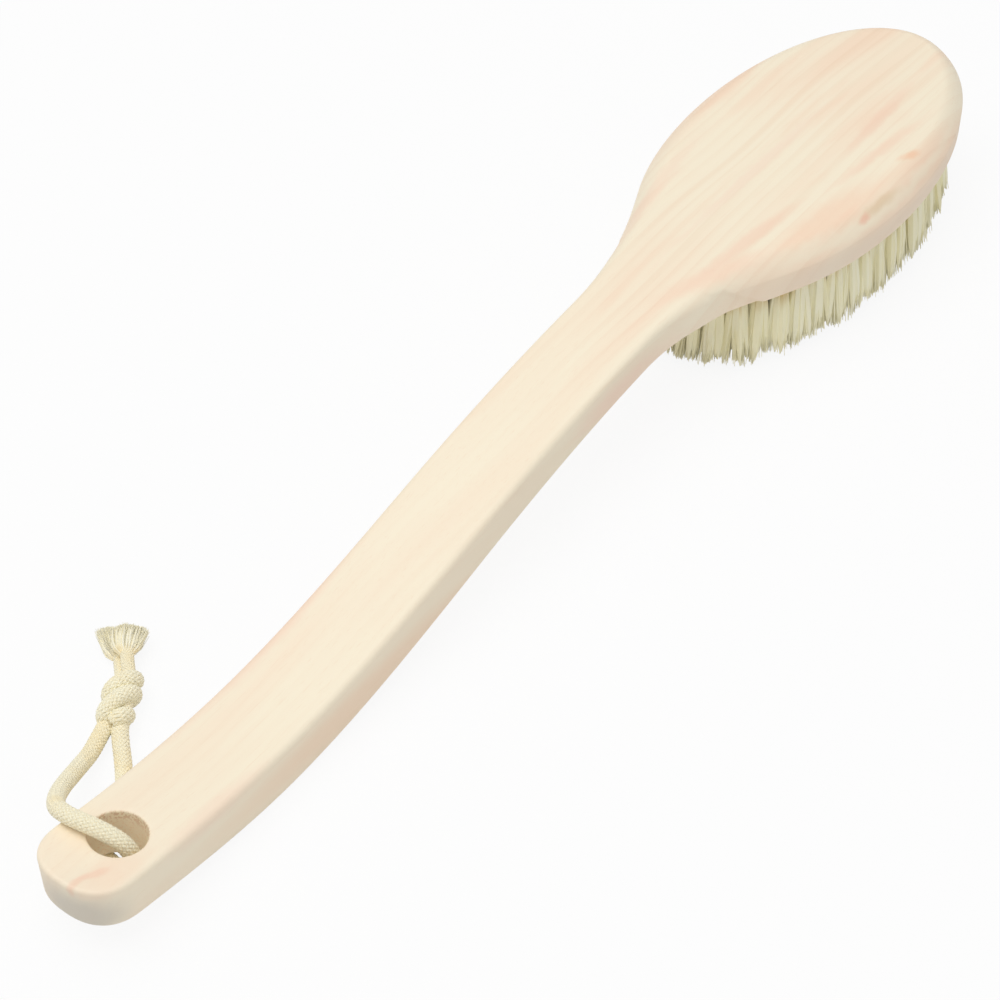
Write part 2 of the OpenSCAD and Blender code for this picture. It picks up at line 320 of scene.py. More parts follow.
# Closed tubes as one mesh: rings has the shape (tubes, places, sides, 3)
def tubesMesh(name, rings, lie, uvAlong):
    tubes, count, sides = rings.shape[:3]
    start = (np.arange(tubes) * count * sides)[:, None, None]
    ring = (np.arange(count - 1) * sides)[None, :, None]
    k = np.arange(sides)[None, None, :]
    nextK = (k + 1) % sides
    quads = np.stack([start + ring + k, start + ring + nextK, start + ring + nextK + sides,
                      start + ring + k + sides], axis=-1).reshape(-1, 4)
    ends = []
    for t in range(tubes):
        base = t * count * sides
        ends.append([base + s for s in range(sides - 1, -1, -1)])
        ends.append([base + (count - 1) * sides + s for s in range(sides)])
    mesh = newMesh(name, rings.reshape(-1, 3), quads.tolist() + ends)
    mesh.shade_smooth()
    lies = mesh.attributes.new("lie", "FLOAT", "POINT")
    lies.data.foreach_set("value", np.repeat(lie.ravel(), sides).astype("f"))
    u = np.broadcast_to(uvAlong[None, :, None], (tubes, count, sides))
    u0, u1 = u[:, :-1], u[:, 1:]
    v0 = np.broadcast_to(k / sides, u0.shape)
    v1 = v0 + 1 / sides
    corners = [np.stack(c, -1) for c in ((u0, v0), (u0, v1), (u1, v1), (u1, v0))]
    quadUv = np.stack(corners, axis=-2).reshape(-1, 2)
    endUv = np.zeros((sum(len(e) for e in ends), 2))
    uvMap = mesh.uv_layers.new(name="yarn")
    uvMap.data.foreach_set("uv", np.vstack((quadUv, endUv)).astype("f").ravel())
    return mesh


# Yarns of two hands cross over and under each other around a round core
def braidMesh(name, route, diameter):
    path, along, side, places = evenPath(route, cord["step"])
    other = np.cross(along, side)
    n = cord["yarns"]
    size = diameter / cord["diameter"]
    middleRadius = diameter / 2 - (cord["rise"] + cord["yarnThickness"] / 2) * size
    turn = 2 * math.pi * places / (cord["pitch"] * size)
    rings, lies = [], []
    sides = 6
    around = 2 * math.pi * np.arange(sides) / sides
    period = 2 * cord["over"]
    for hand in (1, -1):
        for i in range(n):
            angle = hand * turn + 2 * math.pi * i / n
            # Number of yarns of the other hand that this one has crossed
            crossed = (angle + hand * turn) * n / (2 * math.pi)
            start = (cord["over"] - 1) / 2 + (0 if hand > 0 else cord["over"])
            lie = np.cos(2 * math.pi * ((crossed - i) * hand - start) / period)
            outward = side * np.cos(angle)[:, None] + other * np.sin(angle)[:, None]
            centre = path + outward * (middleRadius + cord["rise"] * size * lie)[:, None]
            run = np.gradient(centre, axis=0)
            run /= np.linalg.norm(run, axis=1)[:, None]
            across = np.cross(run, outward)
            across /= np.linalg.norm(across, axis=1)[:, None]
            high = outward[:, None] * np.cos(around)[None, :, None] * cord["yarnThickness"] / 2 * size
            wide = across[:, None] * np.sin(around)[None, :, None] * cord["yarnWidth"] / 2 * size
            rings.append(centre[:, None] + high - wide)
            lies.append(0.5 + 0.5 * lie)
    # The core is one more tube, with as many sides as a yarn
    core = side[:, None] * np.cos(around)[None, :, None] + other[:, None] * np.sin(around)[None, :, None]
    rings.append(path[:, None] + core * (middleRadius - cord["coreGap"]))
    lies.append(np.zeros(len(path)))
    return tubesMesh(name, np.array(rings), np.array(lies), places / cord["yarnWidth"]), path


def fromHandleEnd(points):
    return [(x + woodLow.x / mm, y, z) for x, y, z in points]


# Cord colours: top, painted shade between the yarns, aged
cordColours = (colour(255, 249, 222), colour(242, 218, 164), colour(255, 237, 190))
loopMaterial = cordMaterial("braided cord", *cordColours)
# Both legs run on a little way inside the knot
intoKnot = [(58, 39.6, 4.9), (54, 37.6, 4.2)], [(54.8, 33.9, 4.1), (58.5, 36.8, 4.8)]
loopMesh, loopPath = braidMesh("hangingCord", fromHandleEnd(intoKnot[0] + cordRoute + intoKnot[1]),
                               cord["diameter"])
hangingCord = addObject("hangingCord", loopMesh, loopMaterial)

# The knot that ties both legs: one strand, wound round the knot's middle
knot = {
    "from": (51.0, 33.2, 4.8),
    "to": (65.6, 42.2, 4.9),
    "diameter": 4.7,
    "wrapRadius": 2.9,
    "wrapHeight": 2.6,
    "turns": 2.45,
    "start": 110,  # angle of the first wrap, degrees
    "firstLean": -3.4,  # how far the first and the last wrap lean along the knot
    "lastLean": -0.9,
    "leanGrows": 4.0,
    "tuckGrows": 7,  # how fast the ends come out from under the other wraps
    "reach": (0.03, 0.8),  # from where to where the wraps climb
    "steps": 44,
}


def knotRoute():
    low, high = (np.array(p) for p in fromHandleEnd((knot["from"], knot["to"])))
    length = np.linalg.norm(high - low)
    run = (high - low) / length
    side = np.cross((0, 0, 1.0), run)
    side /= np.linalg.norm(side)
    up = np.cross(run, side)
    first, last = knot["reach"]
    route = []
    for k in range(knot["steps"] + 1):
        share = k / knot["steps"]
        angle = math.radians(knot["start"]) + 2 * math.pi * knot["turns"] * share
        # The wrap starts and ends tucked in under the others
        tuck = min(1, share * knot["tuckGrows"], (1 - share) * knot["tuckGrows"]) ** 0.5
        lean = knot["firstLean"] + (knot["lastLean"] - knot["firstLean"]) * share
        lean *= min(1, share * knot["leanGrows"])
        reach = length * (first + (last - first) * share) + lean * math.cos(angle) * tuck
        route.append(low + run * reach + side * (knot["wrapRadius"] * tuck * math.cos(angle))
                     + up * (knot["wrapHeight"] * tuck * math.sin(angle)))
    return route


knotMesh, _ = braidMesh("cordKnot", knotRoute(), knot["diameter"])
# Knot colours: top, painted shade between the yarns, aged
knotColours = (colour(255, 251, 226), colour(250, 230, 182), colour(255, 241, 200))
knotMaterial = cordMaterial("tightened cord", *knotColours)
cordKnot = addObject("cordKnot", knotMesh, knotMaterial)

# Short ends of both strands, drawn tight between the knot and the tassel
tails = {
    "diameter": 3.7,
    "from": (61.0, 38.6),
    "to": (70.0, 48.4),
    # Height, side offset and share of the run that each end covers
    "places": {"cord_tail_lower": (2.3, 1.1, 1.0), "cord_tail_upper": (5.2, -0.9, 0.9)},
}
tailRun = Vector(tails["to"]) - Vector(tails["from"])


# Point on a tail, at a share of the run from the knot
def tailPoint(node, share):
    height, offset, reach = tails["places"][node]
    side = Vector((-tailRun.y, tailRun.x)).normalized() * offset
    flat = Vector(tails["from"]) + tailRun * reach * share + side
    return flat.x, flat.y, height


for node in tails["places"]:
    route = fromHandleEnd([tailPoint(node, k / 4) for k in range(5)])
    tailMesh, _ = braidMesh("braided_" + node, route, tails["diameter"])
    piece = addObject("braided_" + node, tailMesh, loopMaterial)
    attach(piece, "root")
    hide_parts(node)
print("cord braided and tied")


# Shape of one strand, one unit long
strand = {
    "hairSides": 3,
    "hairRows": 3,
    "hairTip": 0.35,  # radius, where the root's is 0.5
    "lockSides": 6,
    "lockRows": 5,
    "lockTip": 0.92,  # share of a lock's width that is drawn in at the tip and at the root
    "lockRoot": 0.5,
}


# Fibres and bristles: many tapered hairs, grown from the points of a mesh
def hairGroup():
    tree, given, result = newGroup("hairs", "GeometryNodeTree", [
        ("Geometry", "Geometry"), ("Hairs per point", "Int", 160), ("Length", "Float", 0.026),
        ("Length spread", "Float", 0.05), ("Root radius", "Float", 0.002),
        ("Tip radius", "Float", 0.003), ("Thickness", "Float", 0.0002), ("Clumps", "Int", 6),
        ("Clump strength", "Float", 0.5), ("Stray", "Float", 0.001), ("Flatness", "Float", 1.0),
        ("Flare", "Float", 1.0), ("Pointed", "Float", 0.06), ("Dome", "Float", 0.0),
        ("Locks per point", "Int", 20), ("Lock width", "Float", 0.0016), ("Seed", "Int", 1),
        ("Material", "Material"),
    ], [("Geometry", "Geometry")])
    fullTurn = 2 * math.pi

    def step(kind, feeds, **settings):
        return addNode(tree, "GeometryNode" + kind, feeds, **settings).outputs[0]

    # Of these nodes' sockets only those of the chosen data type are enabled
    def attribute(name, kind="FLOAT_VECTOR"):
        made = addNode(tree, "GeometryNodeInputNamedAttribute", {"Name": name}, data_type=kind)
        return Value(next(s for s in made.outputs if s.enabled and s.name == "Attribute"))

    def store(geometry, name, value, kind):
        made = addNode(tree, "GeometryNodeStoreNamedAttribute", {"Geometry": geometry, "Name": name},
                       data_type=kind, domain="POINT")
        feed(next(s for s in made.inputs if s.enabled and s.name == "Value"), value)
        return made.outputs[0]

    def chance(low, high, offset, identity):
        made = addNode(tree, "FunctionNodeRandomValue", data_type="FLOAT")
        sockets = [s for s in made.inputs if s.enabled]
        for socket, value in zip(sockets, (low, high, identity, given["Seed"] + offset)):
            feed(socket, value)
        return Value(next(s for s in made.outputs if s.enabled))

    index = addNode(tree, "GeometryNodeInputIndex").outputs[0]
    tuft = attribute("tuft", "INT")
    grow = attribute("grow")
    lean = attribute("lean")
    # Place in the tuft, as an angle and a share of its radius
    angle = chance(0.0, fullTurn, 1, index)
    reach = calc(tree, "SQRT", chance(0.0, 1.0, 2, index))
    sideways = calcVector(tree, "NORMALIZE", calcVector(tree, "CROSS_PRODUCT", grow, (0.31, 0.2, 0.93)))
    upwards = calcVector(tree, "CROSS_PRODUCT", grow, sideways)

    def onDisc(turn, radius):
        across = scaled(tree, sideways, calc(tree, "COSINE", turn) * radius)
        rise = scaled(tree, upwards, calc(tree, "SINE", turn) * radius * given["Flatness"])
        return calcVector(tree, "ADD", across, rise)

    root = onDisc(angle, reach * given["Root radius"])
    # Sector of the tuft that draws together towards its own tip
    phase = chance(0.0, 1.0, 3, tuft)
    sector = calc(tree, "FLOOR", calc(tree, "FRACT", angle / fullTurn + phase) * given["Clumps"])
    clump = tuft * 31.0 + sector
    clumpTurn = ((sector + chance(0.2, 0.8, 4, clump)) / given["Clumps"] - phase) * fullTurn
    clumpTip = onDisc(clumpTurn, chance(0.35, 1.0, 5, clump) * given["Tip radius"])
    ownTip = onDisc(angle, reach * given["Tip radius"])
    gather = calcVector(tree, "SUBTRACT", clumpTip, ownTip)
    towards = scaled(tree, gather, given["Clump strength"] * chance(0.35, 1.0, 6, index))
    # Hairs far from the middle of their clump are shorter, so that it ends in a point
    outlying = calcVector(tree, "LENGTH", gather) / given["Tip radius"]
    rounding = reach * reach * given["Dome"]
    uneven = chance(0.0, 1.0, 7, clump) + chance(0.0, 1.0, 8, index) ** 2.0
    shorter = outlying * given["Pointed"] + rounding + uneven * given["Length spread"]
    length = given["Length"] * (1.0 - shorter)
    strayTurn = chance(0.0, fullTurn, 9, index)
    strayReach = chance(0.0, 1.0, 10, index) ** 4.0 * given["Stray"]
    strayTip = calcVector(tree, "ADD", ownTip, onDisc(strayTurn, strayReach))
    tip = calcVector(tree, "ADD", strayTip, scaled(tree, grow, length))
    kept = {
        "bend": calcVector(tree, "ADD", towards, lean),
        "straight": calcVector(tree, "SUBTRACT", tip, root),
        "flare": calcVector(tree, "SUBTRACT", ownTip, root),
    }
    tone = chance(0.0, 1.0, 11, index)
    x, y, z = split(tree, addNode(tree, "GeometryNodeInputPosition").outputs[0])
    straight = attribute("straight")
    aim = addNode(tree, "FunctionNodeAlignRotationToVector", {"Vector": straight}, axis="Z").outputs[0]
    tall = calcVector(tree, "LENGTH", straight)

    # Values are kept on the points before the strands are set on them
    def strands(amount, shape, thick):
        copies = {"Geometry": given["Geometry"], "Amount": amount}
        points = step("DuplicateElements", copies, domain="POINT")
        points = step("SetPosition", {"Geometry": points, "Offset": root})
        for name, value in kept.items():
            points = store(points, name, value, "FLOAT_VECTOR")
        points = store(points, "tone", tone, "FLOAT")
        shape = store(shape, "along", z, "FLOAT")
        size = combined(tree, thick, thick, tall)
        placed = {"Points": points, "Instance": shape, "Rotation": aim, "Scale": size}
        return step("InstanceOnPoints", placed)

    def cone(sides, rows, tipRadius):
        return step("MeshCone", {"Vertices": sides, "Side Segments": rows, "Radius Top": tipRadius,
                                 "Radius Bottom": 0.5, "Depth": 1.0}, fill_type="NGON")

    hair = cone(strand["hairSides"], strand["hairRows"], strand["hairTip"])
    hair = step("SetShadeSmooth", {"Geometry": hair, "Shade Smooth": False})
    # Locks are packed strands, drawn in at the root and pointed at the end, that keep the tuft full
    lock = cone(strand["lockSides"], strand["lockRows"], 0.5)
    taper = z ** 5.0 * -strand["lockTip"] + (1.0 - z) ** 3.0 * -strand["lockRoot"]
    lock = step("SetPosition", {"Geometry": lock, "Offset": combined(tree, x * taper, y * taper, 0.0)})
    both = tree.nodes.new("GeometryNodeJoinGeometry")
    hairWidth = given["Thickness"] * chance(0.75, 1.2, 12, index)
    feed(both.inputs[0], strands(given["Hairs per point"], hair, hairWidth))
    lockWidth = given["Lock width"] * chance(0.7, 1.2, 13, index)
    feed(both.inputs[0], strands(given["Locks per point"], lock, lockWidth))
    real = step("RealizeInstances", {"Geometry": both.outputs[0]})
    along = attribute("along", "FLOAT")
    # Hairs widen soon after the root, and bend most near their tips
    early = (calc(tree, "SQRT", along) - along) * given["Flare"]
    offset = calcVector(tree, "ADD", scaled(tree, attribute("bend"), along * along),
                        scaled(tree, attribute("flare"), early))
    curved = step("SetPosition", {"Geometry": real, "Offset": offset})
    for name in (*kept, "tuft", "grow", "lean"):
        curved = step("RemoveAttribute", {"Geometry": curved, "Name": name})
    feed(result["Geometry"], step("SetMaterial", {"Geometry": curved, "Material": given["Material"]}))
    return tree


hairs = hairGroup()


# Plain mesh of the hairs that grow from the given points, as (place, direction, lean, tuft number)
def growHairs(name, points, material, values):
    seeds = bpy.data.meshes.new(name + " roots")
    seeds.from_pydata([tuple(p[0]) for p in points], [], [])
    for label, column in (("grow", 1), ("lean", 2)):
        data = np.array([p[column] for p in points], "f").ravel()
        seeds.attributes.new(label, "FLOAT_VECTOR", "POINT").data.foreach_set("vector", data)
    seeds.attributes.new("tuft", "INT", "POINT").data.foreach_set("value", [p[3] for p in points])
    base = addObject(name + "Roots", seeds)
    grower = base.modifiers.new("hairs", "NODES")
    grower.node_group = hairs
    sockets = {s.name: s.identifier for s in hairs.interface.items_tree if s.in_out == "INPUT"}
    for key, value in {**values, "Material": material}.items():
        grower[sockets[key]] = value
    mesh = workedMesh(base, name)
    bpy.data.objects.remove(base)
    bpy.data.meshes.remove(seeds)
    return addObject(name, mesh)


def hairMaterial(name, tip, root, pale, roughness):
    material, tree, shader = newMaterial(name, roughness, Sheen_Weight=0.4, Sheen_Roughness=0.4)
    tone = meshValue(tree, "tone")
    place = objectPlace(tree)
    # Towards the root the colour turns to the root colour, painted shade where the strands stand in each
    # other's shadow
    rootShadeToTip = remap(tree, meshValue(tree, "along") + tone * 0.12, 0.06, 0.4)
    patches = noise(tree, place, scale=170, detail=2)
    paler = remap(tree, tone * 0.5 + patches * 0.5, 0.35, 0.8)
    shade = mixColour(tree, rootShadeToTip, root, tip)
    feed(shader.inputs["Base Color"], mixColour(tree, paler, shade, pale))
    worn = noise(tree, place, scale=900, detail=1)
    feed(shader.inputs["Roughness"], remap(tree, worn, 0.3, 0.7, roughness - 0.08, roughness + 0.08))
    return material


tassel = {
    "Hairs per point": 1800,
    "Length": 0.0104,
    "Length spread": 0.1,
    "Root radius": 0.0018,
    "Tip radius": 0.0047,
    "Thickness": 0.00017,
    "Clumps": 12,
    "Clump strength": 0.25,
    "Stray": 0.0013,
    "Flatness": 0.62,
    "Flare": 1.5,
    "Pointed": 0.02,
    "Dome": 0.16,
    "Locks per point": 140,
    "Lock width": 0.0007,
    "Seed": 5,
}
# How the fibres leave the two tails
fray = {
    "run": (0.73, 0.68, 0),
    "start": 0.0018,  # how far before the end of the braid
    "spread": 0.0011,  # sideways lean for each millimetre between the tails
    "upperSink": -0.0005,
    "lowerRise": 0.0011,
    "colours": (colour(252, 245, 216), colour(253, 237, 194), colour(253, 249, 230)),  # tip, root, pale
}


def makeTassel():
    run = Vector(fray["run"]).normalized()
    across = Vector((-run.y, run.x, 0))
    points = []
    for number, (node, (height, offset, _)) in enumerate(tails["places"].items()):
        end = Vector(fromHandleEnd([tailPoint(node, 1)])[0]) * mm
        upper = height > tails["diameter"]
        sink = Vector((0, 0, fray["upperSink"] if upper else fray["lowerRise"]))
        lean = across * offset * fray["spread"] + sink
        points.append((end - run * fray["start"], run, lean, number))
    fibre = hairMaterial("frayed fibre", *fray["colours"], roughness=0.8)
    return growHairs("cordTassel", points, fibre, tassel)


cordTassel = makeTassel()
for piece, nodes, slot in (
    (hangingCord, ["cord_loop"], "braided_cord"),
    (cordKnot, ["cord_knot"], "braided_cord"),
    (cordTassel, ["cord_tassel"], "cord_fibre"),
):
    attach(piece, "root")
    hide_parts(*nodes)
cordLeaves = Vector(fromHandleEnd([cordRoute[24]])[0]) * mm  # comes out from under the handle here
[tuple(p * mm) for p in loopPath[::3]]


# Wooden body, carved in one piece. Sizes in millimetres, places from the handle end or from the tip
body = {
    "headLength": 136.0,
    "headWidth": 73.0,
    "headThickness": 14.0,
    "handleWidth": 25.6,
    "gripThickness": 16.0,
    "endThickness": 14.0,
    "waistThickness": 12.0,
    "endRound": 12.4,
    "endSquareness": 2.4,
    "valleyPlace": 64.0,
    "endLift": 7.6,
    "endSlope": 0.2,
    "riseRun": 76.0,
    "riseShare": 0.467,
    "riseSlope": 0.22,
    "flatTop": 130.0,
    "neckStart": 165.0,
    "neckEnd": 112.0,
    "waistPlace": 150.0,
    "fullThickness": 114.0,
    "endEdge": 1.3,  # rounding of the top edge at the handle end, along the handle and on the head
    "endEdgeRun": 40,  # over this length the first becomes the second
    "handleEdge": 1.9,
    "headEdgeIn": 6.4,
    "headEdgeDrop": 5.6,
    "headEdgeTop": 1.15,  # 1 runs smoothly into the face, 2 meets it at a corner
    "headEdgeSide": 1.8,
    "bottomEdge": 2.2,
    "crease": [(236, 42), (240, 38.6), (244, 38.0), (250, 33), (256, 28.6), (260, 24)],  # place, height
    "creaseDepth": 1.1,
    "creaseWidth": 1.7,
    "creaseFade": 11.0,
    "farCrease": 0.3,  # the crease is shallower on the far side
    "holePlace": 19.6,
    "holeWidth": 14.4,
    "holeRim": 0.6,
    "rimSlope": 70,  # degrees through which the rim rounds over
    "tuftHoleWidth": 4.0,
    "tuftHoleDepth": 8.0,
    "tuftHoleOut": 2,  # the cutter of a tuft hole starts this far under the head
    "facets": {"end": 20, "handle": 64, "neck": 90, "head": 100, "edge": 12, "side": 12, "across": 12,
               "hole": 72, "tuftHole": 20},
}
bodyLength = (woodHigh.x - woodLow.x) / mm
headTop = woodHigh.z / mm
headBottom = headTop - body["headThickness"]
headA, headB = body["headLength"] / 2, body["headWidth"] / 2
headMiddle = bodyLength - headA
handleB = body["handleWidth"] / 2
facets = body["facets"]


# Curve through knots of (place, value, slope)
def through(knots, x):
    for (x0, y0, s0), (x1, y1, s1) in zip(knots, knots[1:]):
        if x <= x1 or x1 == knots[-1][0]:
            d = x1 - x0
            t = min(max((x - x0) / d, 0), 1)
            return ((2 * t**3 - 3 * t**2 + 1) * y0 + (t**3 - 2 * t**2 + t) * d * s0
                    + (3 * t**2 - 2 * t**3) * y1 + (t**3 - t**2) * d * s1)


def topZ(x):
    grip, climb = body["gripThickness"], headTop - body["gripThickness"]
    return through([
        (0, grip + body["endLift"], -body["endSlope"]),
        (body["valleyPlace"], grip, 0),
        (body["valleyPlace"] + body["riseRun"], grip + climb * body["riseShare"], body["riseSlope"]),
        (bodyLength - body["flatTop"], headTop, 0),
        (bodyLength, headTop, 0),
    ], x)


def underZ(x):
    return topZ(x) - through([
        (0, body["endThickness"], 0),
        (body["valleyPlace"], body["gripThickness"], 0),
        (bodyLength - body["waistPlace"], body["waistThickness"], 0),
        (bodyLength - body["fullThickness"], body["headThickness"], 0),
        (bodyLength, body["headThickness"], 0),
    ], x)


def halfOutline():
    neck0, neck1 = bodyLength - body["neckStart"], bodyLength - body["neckEnd"]
    ovalY = headB * math.sqrt(1 - ((neck1 - headMiddle) / headA) ** 2)
    neck = [(neck0, handleB, 0), (neck1, ovalY, headB**2 * (headMiddle - neck1) / (headA**2 * ovalY))]
    ovalStart = math.acos((neck1 - headMiddle) / headA)
    power = 2 / body["endSquareness"]
    points = []
    for k in range(facets["end"]):
        a = math.pi / 2 * k / facets["end"]
        points.append((body["endRound"] * (1 - math.cos(a)**power), handleB * math.sin(a)**power))
    for k in range(facets["handle"]):
        points.append((body["endRound"] + (neck0 - body["endRound"]) * k / facets["handle"], handleB))
    for k in range(facets["neck"]):
        x = neck0 + (neck1 - neck0) * k / facets["neck"]
        points.append((x, through(neck, x)))
    for k in range(facets["head"] + 1):
        a = ovalStart * (1 - k / facets["head"])
        points.append((headMiddle + headA * math.cos(a), headB * math.sin(a)))
    return np.array(points), neck0, neck1


def carveBlank():
    half, neck0, neck1 = halfOutline()
    outline = np.vstack((half, half[-2:0:-1] * (1, -1)))
    ahead = np.roll(outline, -1, axis=0) - np.roll(outline, 1, axis=0)
    outward = np.column_stack((-ahead[:, 1], ahead[:, 0])) / np.linalg.norm(ahead, axis=1)[:, None]
    t = np.clip((outline[:, 0] - neck0) / (neck1 - neck0), 0, 1)
    headness = t * t * (3 - 2 * t)
    meetTop = 1 + (body["headEdgeTop"] - 1) * headness
    meetSide = 1 + (body["headEdgeSide"] - 1) * headness
    away = np.clip(outline[:, 0] / body["endEdgeRun"], 0, 1)
    edge = body["endEdge"] + (body["handleEdge"] - body["endEdge"]) * away * away * (3 - 2 * away)
    reachIn = edge + (body["headEdgeIn"] - edge) * headness
    drop = edge + (body["headEdgeDrop"] - edge) * headness
    creaseX, creaseZ = zip(*body["crease"])
    # Before the crease the whole side is below it, where its depth is still 0, and past it nothing is
    creaseZ = np.interp(outline[:, 0], creaseX, creaseZ, left=60, right=0)
    depth = body["creaseDepth"] * np.clip((outline[:, 0] - creaseX[0]) / body["creaseFade"], 0, 1)
    depth *= np.where(outline[:, 1] > 0, body["farCrease"], 1)

    # Below the crease behind the head the neck's side is cut back
    def ring(inset, z):
        below = np.clip((creaseZ - z) / body["creaseWidth"], 0, 1)
        cut = depth * below * below * (3 - 2 * below)
        q = outline - outward * (inset + cut)[:, None]
        return np.column_stack((q, z))

    def heights(line, inset):
        return np.array([line(x) for x in (outline - outward * inset[:, None])[:, 0]])

    rings = []
    steps = facets["edge"]
    for k in range(steps, -1, -1):
        a = math.pi / 2 * k / steps
        inset = reachIn * (1 - (math.cos(a) + 1e-9) ** meetTop)
        rings.append(ring(inset, heights(topZ, inset) - drop * (1 - math.sin(a) ** meetSide)))
    sideTop = rings[-1][:, 2]
    flat = np.zeros(len(outline))
    sideLow = heights(underZ, flat) + body["bottomEdge"]
    for k in range(1, facets["side"]):
        rings.append(ring(flat, sideTop + (sideLow - sideTop) * k / facets["side"]))
    for k in range(steps + 1):
        a = math.pi / 2 * k / steps
        inset = flat + body["bottomEdge"] * (1 - math.cos(a))
        rings.append(ring(inset, heights(underZ, inset) + body["bottomEdge"] * (1 - math.sin(a))))
    count, n = len(rings), len(outline)
    points = list(np.vstack(rings))
    faces = []
    for r in range(count - 1):
        for i in range(n):
            j = (i + 1) % n
            faces.append((r * n + i, r * n + j, r * n + n + j, r * n + n + i))
    # Faces across the top and the underside, in columns between the two edges
    columns = facets["across"]
    for base, flip in ((0, False), ((count - 1) * n, True)):
        rows = []
        for i in range(1, len(half) - 1):
            left, right = base + i, base + n - i
            row = [left]
            for c in range(1, columns):
                row.append(len(points))
                points.append(points[left] + (points[right] - points[left]) * c / columns)
            rows.append(row + [right])
        patch = []
        for a, b in zip(rows, rows[1:]):
            patch += [(a[c], a[c + 1], b[c + 1], b[c]) for c in range(columns)]
        patch += [(base, rows[0][c + 1], rows[0][c]) for c in range(columns)]
        tip = base + len(half) - 1
        patch += [(tip, rows[-1][c], rows[-1][c + 1]) for c in range(columns)]
        faces += [f[::-1] for f in patch] if flip else patch
    return newMesh("carvedBody", np.array(points) + (woodLow.x / mm, 0, 0), faces)


# Turned shape: a closed profile of (radius, height) spun round an axis
def turned(profile, sides, place, tilt=0.0):
    points, faces = [], []
    rows = len(profile)
    for k in range(sides):
        a = 2 * math.pi * k / sides
        for radius, height in profile:
            x, y, z = radius * math.cos(a), radius * math.sin(a), height
            points.append((place[0] + x * math.cos(tilt) - z * math.sin(tilt), place[1] + y,
                           place[2] + x * math.sin(tilt) + z * math.cos(tilt)))
    for k in range(sides):
        j = (k + 1) % sides
        for r in range(rows - 1):
            faces.append((k * rows + r, j * rows + r, j * rows + r + 1, k * rows + r + 1))
    faces.append([k * rows for k in range(sides - 1, -1, -1)])
    faces.append([k * rows + rows - 1 for k in range(sides)])
    return points, faces


# Tuft places come from the separate solids of each tuft node
def tuftPlaces(node):
    mesh = bmesh.new()
    mesh.from_mesh(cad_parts[node].data)
    bmesh.ops.remove_doubles(mesh, verts=mesh.verts, dist=1e-6)
    places, seen = [], set()
    for first in mesh.verts:
        if first.index in seen:
            continue
        island, waiting = [], [first]
        seen.add(first.index)
        while waiting:
            vertex = waiting.pop()
            island.append(vertex.co)
            for edge in vertex.link_edges:
                other = edge.other_vert(vertex)
                if other.index not in seen:
                    seen.add(other.index)
                    waiting.append(other)
        xs, ys = [c.x for c in island], [c.y for c in island]
        places.append(((min(xs) + max(xs)) / 2, (min(ys) + max(ys)) / 2))
    mesh.free()
    return places


tuftNodes = {name: tuftPlaces(name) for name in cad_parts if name.startswith("tufts_")}
print("tufts", {name: len(places) for name, places in tuftNodes.items()})


def holeCutters():
    points, faces = [], []

    def add(shape):
        start = len(points)
        points.extend(shape[0])
        faces.extend([[i + start for i in f] for f in shape[1]])

    depth = topZ(body["holePlace"]) - underZ(body["holePlace"])
    tilt = math.atan(topZ(body["holePlace"] + 1) - topZ(body["holePlace"]))
    r, rim = body["holeWidth"] / 2, body["holeRim"]
    # The rim rounds over and then leaves the surface on a shallow slope
    slope = body["rimSlope"]
    turns = np.radians(np.arange(0, slope + 1, 10))
    arc = [(r + rim * (1 - math.cos(a)), -rim * (1 - math.sin(a))) for a in turns]
    rise = 1.6  # the cutter stands this far out of the wood
    arc.append((arc[-1][0] + rise * math.tan(math.radians(slope)), arc[-1][1] + rise))
    profile = [(x, -depth - z) for x, z in reversed(arc)] + arc
    place = (body["holePlace"] + woodLow.x / mm, 0, topZ(body["holePlace"]))
    add(turned(profile, facets["hole"], place, tilt))
    tuftRadius = body["tuftHoleWidth"] / 2
    tuftHole = [(tuftRadius, -body["tuftHoleOut"]), (tuftRadius, body["tuftHoleDepth"])]
    for places in tuftNodes.values():
        for x, y in places:
            add(turned(tuftHole, facets["tuftHole"], (x / mm, y / mm, headBottom)))
    return newMesh("cutters", points, faces)


def carveBody(material):
    blank = addObject("carvedBody", carveBlank(), material)
    cutters = addObject("cutters", holeCutters())
    drill = blank.modifiers.new("drill", "BOOLEAN")
    drill.operation = "DIFFERENCE"
    drill.solver = "EXACT"
    drill.object = cutters
    mesh = workedMesh(blank, "carvedBody")
    blank.data = mesh
    bpy.data.objects.remove(cutters)
    mesh.shade_smooth()
    mesh.set_sharp_from_angle(angle=math.radians(32))
    return blank


